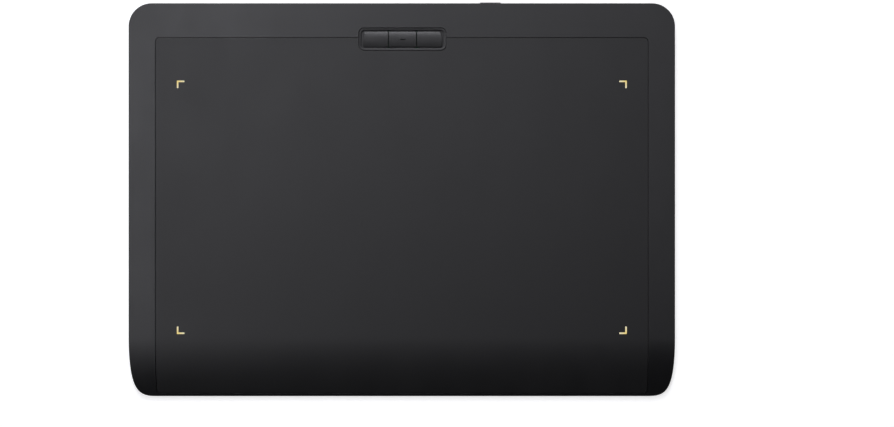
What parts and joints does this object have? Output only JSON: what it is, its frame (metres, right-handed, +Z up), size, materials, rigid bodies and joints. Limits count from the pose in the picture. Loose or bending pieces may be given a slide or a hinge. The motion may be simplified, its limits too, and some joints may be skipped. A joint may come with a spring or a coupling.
{
  "type": "pen drawing tablet",
  "caption": "Slim flat pen drawing tablet with crowned shortcut keys, lit corner marks, a curved palm rest along the front edge and a power slider on the rear edge.",
  "frame": {"origin": "on the desk, under the middle of the tablet, level with the undersides of its feet", "axes": "+X right along the long side, +Y towards the keys and the rear edge, +Z up out of the drawing surface"},
  "size_m": [0.3206, 0.2319, 0.008],
  "materials": {
    "cover_plastic": "fine satin moulded plastic, dark grey",
    "drawing_sheet": "very fine matt paper-like grain, near black",
    "corner_light": "lit diffusing window, pale yellow",
    "trim_plastic": "smooth satin, dark grey",
    "key_plastic": "satin, dark grey",
    "slider_plastic": "satin, near black",
    "rubber": "matt black",
    "screw_steel": "blackened steel",
    "label": "blank satin label film",
    "steel": "pressed sheet",
    "dark_plastic": "moulded, black",
    "light_plastic": "moulded, off-white",
    "clear_lens": "polished, milky",
    "circuit_board": "solder mask green",
    "battery_wrap": "foil pouch",
    "foam": "black foam tape",
    "flat_cable": "amber film",
    "wire": "red insulation"
  },
  "bodies": {
    "tablet": {"top_cover": "cover_plastic", "bottom_cover": "cover_plastic", "drawing_sheet": "drawing_sheet", "rating_label": "label", "key_well_trim": "trim_plastic", "key_board": "circuit_board", "key_flex": "flat_cable", "slide_switch_body": "steel", "sensor_board": "circuit_board", "shield_plate": "steel", "main_board": "circuit_board", "processor_can": "steel", "radio_can": "steel", "radio_antenna": "light_plastic", "sensor_connector": "light_plastic", "sensor_flex": "flat_cable", "battery_cell": "battery_wrap", "battery_pad": "foam", "battery_connector": "light_plastic", "battery_lead": "wire", "usb_c_shell": "steel", "usb_c_tongue": "dark_plastic", "status_led": "light_plastic", "status_lens": "clear_lens", "foot_front_left": "rubber", "corner_light_front_left": "corner_light", "corner_led_front_left": "light_plastic", "foot_front_right": "rubber", "corner_light_front_right": "corner_light", "corner_led_front_right": "light_plastic", "foot_rear_left": "rubber", "corner_light_rear_left": "corner_light", "corner_led_rear_left": "light_plastic", "foot_rear_right": "rubber", "corner_light_rear_right": "corner_light", "corner_led_rear_right": "light_plastic", "screw_front_left_corner": "screw_steel", "screw_front_right_corner": "screw_steel", "screw_left_side": "screw_steel", "screw_right_side": "screw_steel", "screw_rear_left_corner": "screw_steel", "screw_rear_right_corner": "screw_steel", "screw_front_left": "screw_steel", "screw_front_right": "screw_steel", "key_switch_left": "dark_plastic", "key_switch_middle": "dark_plastic", "key_switch_right": "dark_plastic"},
    "key_left": {"key_left": "key_plastic", "key_plunger_left": "light_plastic"},
    "key_middle": {"key_middle": "key_plastic", "key_plunger_middle": "light_plastic"},
    "key_right": {"key_right": "key_plastic", "key_plunger_right": "light_plastic"},
    "power_slider": {"power_slider_cap": "slider_plastic", "slide_switch_lever": "light_plastic"}
  },
  "joints": [
    {"name": "key_left_press", "type": "slide", "parent": "tablet", "child": "key_left", "axis": [0, 0, -1], "range_m": [0, 0.0006], "stiffness_N_per_m": 300, "springref_m": -0.003},
    {"name": "key_middle_press", "type": "slide", "parent": "tablet", "child": "key_middle", "axis": [0, 0, -1], "range_m": [0, 0.0006], "stiffness_N_per_m": 300, "springref_m": -0.003},
    {"name": "key_right_press", "type": "slide", "parent": "tablet", "child": "key_right", "axis": [0, 0, -1], "range_m": [0, 0.0006], "stiffness_N_per_m": 300, "springref_m": -0.003},
    {"name": "power_slide", "type": "slide", "parent": "tablet", "child": "power_slider", "axis": [1, 0, 0], "range_m": [0, 0.002]}
  ]
}
